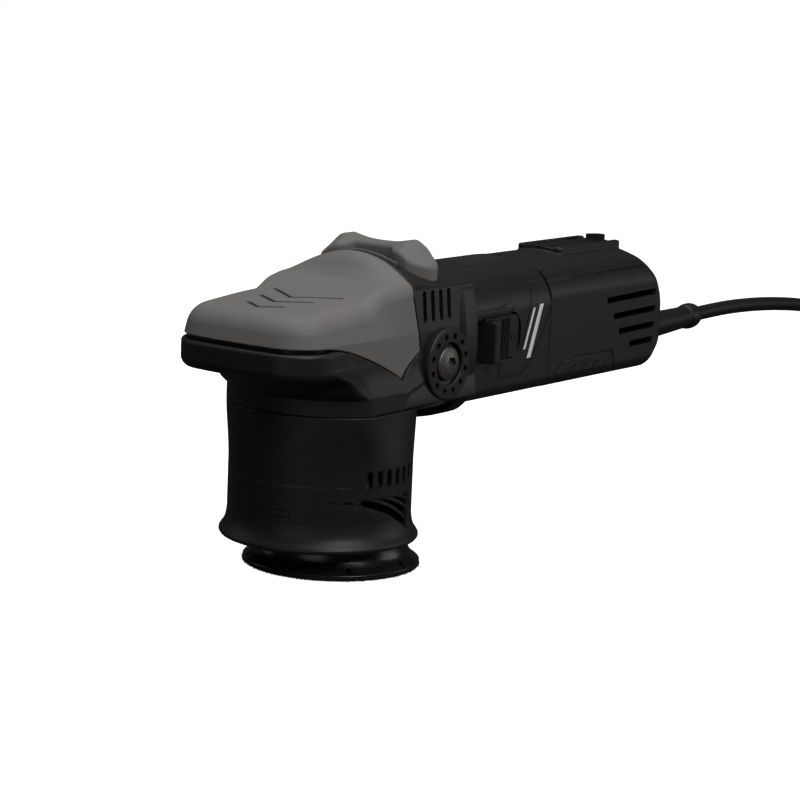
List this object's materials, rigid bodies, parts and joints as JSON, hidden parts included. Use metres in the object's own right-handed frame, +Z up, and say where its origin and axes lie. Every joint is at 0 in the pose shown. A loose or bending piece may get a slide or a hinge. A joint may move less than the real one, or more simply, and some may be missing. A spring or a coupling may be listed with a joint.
{
  "type": "dual action polisher",
  "caption": "Compact corded polisher with a rubber-covered head, a flared neck, an orbiting and spinning hook-faced backing plate, a slide switch and a speed dial.",
  "frame": {"origin": "on the spindle axis, at the surface that the hook face rests on", "axes": "+Z up along the spindle axis, +Y from the spindle towards the tail and the cord, -Y towards the nose, +X towards the slide switch side"},
  "size_m": [0.112, 0.7167, 0.1358],
  "materials": {
    "soft_grey_rubber": "soft-touch matt",
    "black_plastic": "fine spark-eroded texture",
    "label_plastic": "smooth satin",
    "light_plate": "satin light grey",
    "gloss_black": "glossy moulded",
    "hook_fabric": "fuzzy hook pile",
    "cast_aluminium": "cast and machined",
    "machined_steel": "turned",
    "gear_steel": "cut and hardened",
    "bearing_steel": "ground",
    "dark_bolts": "black oxide",
    "laminated_steel": "stacked laminations",
    "copper_wire": "enamelled copper winding",
    "copper_bars": "turned copper bars",
    "brass_parts": "stamped",
    "carbon": "pressed carbon",
    "spring_steel": "wire",
    "cord_rubber": "satin rubber",
    "tie_fabric": "woven hook and loop strap",
    "plated_pins": "nickel plated",
    "switch_plastic": "fine texture",
    "dial_plastic": "satin",
    "board_green": "solder resist",
    "capacitor_film": "moulded"
  },
  "bodies": {
    "root": {"nose_cover": "soft_grey_rubber", "head_shell": "black_plastic", "top_grip": "soft_grey_rubber", "gear_case": "cast_aluminium", "gear_case_screws": "dark_bolts", "shroud": "black_plastic", "shroud_screws": "dark_bolts", "side_boss_right": "black_plastic", "side_boss_left": "black_plastic", "boss_bolts": "dark_bolts", "motor_housing": "black_plastic", "name_plate": "label_plastic", "accent_plates": "light_plate", "rear_cover": "black_plastic", "rear_cover_screws": "dark_bolts", "tail_inset": "gloss_black", "strain_relief": "cord_rubber", "cord_inner_end": "cord_rubber", "cord_clamp": "black_plastic", "cord_clamp_screws": "dark_bolts", "cord": "cord_rubber", "cord_coil": "cord_rubber", "cord_tie": "tie_fabric", "plug_body": "cord_rubber", "plug_pins": "plated_pins", "stator_core": "laminated_steel", "field_coils": "copper_wire", "fan_baffle": "black_plastic", "brush_holders": "brass_parts", "carbon_brushes": "carbon", "brush_springs": "spring_steel", "front_bearing": "bearing_steel", "rear_bearing": "bearing_steel", "upper_bearing": "bearing_steel", "lower_bearing": "bearing_steel", "bearing_retainer": "cast_aluminium", "retainer_screws": "dark_bolts", "switch_block": "switch_plastic", "control_board": "board_green", "capacitor": "capacitor_film", "dial_potentiometer": "dial_plastic"},
    "armature": {"armature_shaft": "machined_steel", "armature_core": "laminated_steel", "armature_windings": "copper_wire", "commutator": "copper_bars", "motor_fan": "black_plastic", "pinion": "gear_steel"},
    "spindle": {"spindle": "machined_steel", "bevel_gear": "gear_steel", "spindle_nut": "dark_bolts", "counterweight": "cast_aluminium", "counterweight_screws": "dark_bolts", "eccentric_bearings": "bearing_steel"},
    "pad": {"pad_arbor": "machined_steel", "backing_plate": "gloss_black", "hook_face": "hook_fabric", "pad_bolt": "dark_bolts"},
    "switch": {"switch_slider": "switch_plastic", "switch_rod": "switch_plastic"},
    "dial": {"speed_dial": "dial_plastic"}
  },
  "joints": [
    {"name": "armature_spin", "type": "hinge", "parent": "root", "child": "armature", "pos_m": [0, 0, 0.092], "axis": [0, 1, 0], "continuous": true},
    {"name": "spindle_spin", "type": "hinge", "parent": "root", "child": "spindle", "pos_m": [0, 0, 0], "axis": [0, 0, 1], "continuous": true},
    {"name": "pad_spin", "type": "hinge", "parent": "spindle", "child": "pad", "pos_m": [0.00344, 0.00491, 0], "axis": [0, 0, 1], "continuous": true},
    {"name": "switch_slide", "type": "slide", "parent": "root", "child": "switch", "axis": [0, -1, 0], "range_m": [0, 0.007]},
    {"name": "dial_turn", "type": "hinge", "parent": "root", "child": "dial", "pos_m": [0, 0.217, 0.098], "axis": [1, 0, 0], "range_deg": [0, 300]}
  ],
  "couplings": [
    {"joint": "spindle_spin", "follows": "armature_spin", "ratio": 0.33333}
  ]
}
